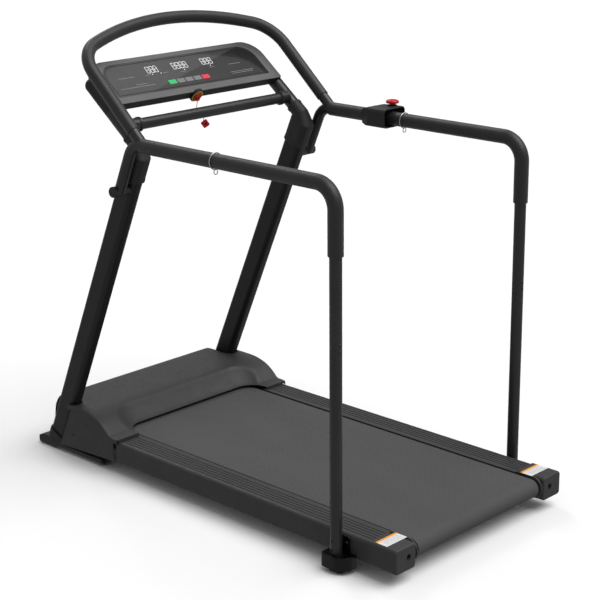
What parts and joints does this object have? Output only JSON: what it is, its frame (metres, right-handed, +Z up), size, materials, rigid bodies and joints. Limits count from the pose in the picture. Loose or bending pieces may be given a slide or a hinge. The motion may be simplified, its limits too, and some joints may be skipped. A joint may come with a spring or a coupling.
{
  "type": "treadmill",
  "caption": "Motorised walking treadmill with a flat belt deck, long foam-covered side handrails, an arched front grip and a tilted console.",
  "frame": {"origin": "on the floor, below the middle of the machine", "axes": "+Y is the walking direction towards the console, +X the walker's right, +Z up"},
  "size_m": [0.814, 1.442, 1.2998],
  "materials": {
    "frame_steel": "satin black powder coat",
    "deck_wood": "laminated board",
    "belt_rubber": "fine diamond-textured belt",
    "roller_metal": "turned",
    "motor_steel": "black paint",
    "bright_steel": "zinc plated",
    "drive_rubber": "ribbed",
    "pad_rubber": "matt",
    "ribbed_plastic": "ribbed, fine grain",
    "black_plastic": "fine grain",
    "hood_plastic": "fine grain",
    "grip_foam": "closed-cell foam",
    "panel_gloss": "gloss overlay",
    "green_key": "satin",
    "grey_key": "satin",
    "red_plastic": "satin",
    "circuit_board": "solder mask",
    "yellow_plastic": "satin",
    "lanyard_cord": "braided cord"
  },
  "bodies": {
    "machine": {"base_frame": "frame_steel", "deck_board": "deck_wood", "walking_belt": "belt_rubber", "motor": "motor_steel", "drive_belt": "drive_rubber", "controller": "black_plastic", "side_rail_right": "ribbed_plastic", "side_rail_left": "ribbed_plastic", "end_cap_right": "black_plastic", "end_cap_left": "black_plastic", "motor_cover": "hood_plastic", "cover_side_right": "black_plastic", "cover_side_left": "black_plastic", "floor_rail_right": "frame_steel", "floor_rail_left": "frame_steel", "upright_right": "frame_steel", "upright_left": "frame_steel", "elbow_right": "black_plastic", "elbow_left": "black_plastic", "console_arm_right": "frame_steel", "console_arm_left": "frame_steel", "crossbar": "frame_steel", "handrail_right": "frame_steel", "handrail_left": "frame_steel", "handrail_foam_right": "grip_foam", "handrail_foam_left": "grip_foam", "lower_post_right": "frame_steel", "lower_post_left": "frame_steel", "foot_bracket_right": "frame_steel", "foot_bracket_left": "frame_steel", "rear_pad_right": "pad_rubber", "rear_pad_left": "pad_rubber", "arch_tube": "frame_steel", "arch_foam": "grip_foam", "console_shell": "black_plastic", "console_bezel": "black_plastic", "console_panel": "panel_gloss", "console_board": "circuit_board", "key_socket": "yellow_plastic", "stop_housing": "black_plastic", "power_inlet": "black_plastic"},
    "front_roller": {"front_roller": "roller_metal"},
    "rear_roller": {"rear_roller": "roller_metal"},
    "motor_rotor": {"motor_pulley": "bright_steel"},
    "start_button": {"start_button": "green_key"},
    "slower_button": {"slower_button": "grey_key"},
    "mode_button": {"mode_button": "grey_key"},
    "faster_button": {"faster_button": "grey_key"},
    "stop_button": {"stop_button": "red_plastic"},
    "stop_mushroom": {"stop_mushroom": "red_plastic"},
    "safety_key": {"safety_key": "red_plastic", "key_lanyard": "lanyard_cord", "key_clip": "red_plastic"},
    "transport_wheel_right": {"transport_wheel_right": "pad_rubber"},
    "transport_wheel_left": {"transport_wheel_left": "pad_rubber"},
    "rocker_switch": {"rocker_switch": "red_plastic"},
    "wire_ring_right": {"wire_ring_right": "bright_steel"},
    "wire_ring_left": {"wire_ring_left": "bright_steel"},
    "tension_bolt_right": {"tension_bolt_right": "bright_steel"},
    "tension_bolt_left": {"tension_bolt_left": "bright_steel"}
  },
  "joints": [
    {"name": "front_roller_spin", "type": "hinge", "parent": "machine", "child": "front_roller", "pos_m": [0, 0.47, 0.0705], "axis": [1, 0, 0], "continuous": true},
    {"name": "rear_roller_spin", "type": "hinge", "parent": "machine", "child": "rear_roller", "pos_m": [0, -0.69, 0.0705], "axis": [1, 0, 0], "continuous": true},
    {"name": "motor_spin", "type": "hinge", "parent": "machine", "child": "motor_rotor", "pos_m": [-0.25, 0.545, 0.108], "axis": [1, 0, 0], "continuous": true},
    {"name": "start_press", "type": "slide", "parent": "machine", "child": "start_button", "axis": [0, 0.6157, -0.788], "range_m": [0, 0.0008], "stiffness_N_per_m": 400, "springref_m": -0.001},
    {"name": "slower_press", "type": "slide", "parent": "machine", "child": "slower_button", "axis": [0, 0.6157, -0.788], "range_m": [0, 0.0008], "stiffness_N_per_m": 400, "springref_m": -0.001},
    {"name": "mode_press", "type": "slide", "parent": "machine", "child": "mode_button", "axis": [0, 0.6157, -0.788], "range_m": [0, 0.0008], "stiffness_N_per_m": 400, "springref_m": -0.001},
    {"name": "faster_press", "type": "slide", "parent": "machine", "child": "faster_button", "axis": [0, 0.6157, -0.788], "range_m": [0, 0.0008], "stiffness_N_per_m": 400, "springref_m": -0.001},
    {"name": "stop_press", "type": "slide", "parent": "machine", "child": "stop_button", "axis": [0, 0.6157, -0.788], "range_m": [0, 0.0008], "stiffness_N_per_m": 400, "springref_m": -0.001},
    {"name": "stop_mushroom_press", "type": "slide", "parent": "machine", "child": "stop_mushroom", "axis": [0, 0, -1], "range_m": [0, 0.004], "stiffness_N_per_m": 600, "springref_m": -0.004},
    {"name": "safety_key_pull", "type": "slide", "parent": "machine", "child": "safety_key", "axis": [0, -0.788, -0.6157], "range_m": [0, 0.02]},
    {"name": "wheel_right_spin", "type": "hinge", "parent": "machine", "child": "transport_wheel_right", "pos_m": [0.3235, 0.432, 0.021], "axis": [1, 0, 0], "continuous": true},
    {"name": "wheel_left_spin", "type": "hinge", "parent": "machine", "child": "transport_wheel_left", "pos_m": [-0.3235, 0.432, 0.021], "axis": [1, 0, 0], "continuous": true},
    {"name": "rocker_tip", "type": "hinge", "parent": "machine", "child": "rocker_switch", "pos_m": [0.245, 0.692, 0.073], "axis": [1, 0, 0], "range_deg": [0, 12]},
    {"name": "ring_right_swing", "type": "hinge", "parent": "machine", "child": "wire_ring_right", "pos_m": [0.371, -0.126, 1.004], "axis": [0, 1, 0], "range_deg": [-60, 60]},
    {"name": "ring_left_swing", "type": "hinge", "parent": "machine", "child": "wire_ring_left", "pos_m": [-0.371, -0.126, 1.004], "axis": [0, 1, 0], "range_deg": [-60, 60]},
    {"name": "bolt_right_turn", "type": "hinge", "parent": "machine", "child": "tension_bolt_right", "pos_m": [0.3, -0.69, 0.0705], "axis": [0, 1, 0], "range_deg": [-180, 180]},
    {"name": "bolt_left_turn", "type": "hinge", "parent": "machine", "child": "tension_bolt_left", "pos_m": [-0.3, -0.69, 0.0705], "axis": [0, 1, 0], "range_deg": [-180, 180]}
  ],
  "couplings": [
    {"joint": "rear_roller_spin", "follows": "front_roller_spin", "ratio": 1},
    {"joint": "motor_spin", "follows": "front_roller_spin", "ratio": 2}
  ]
}
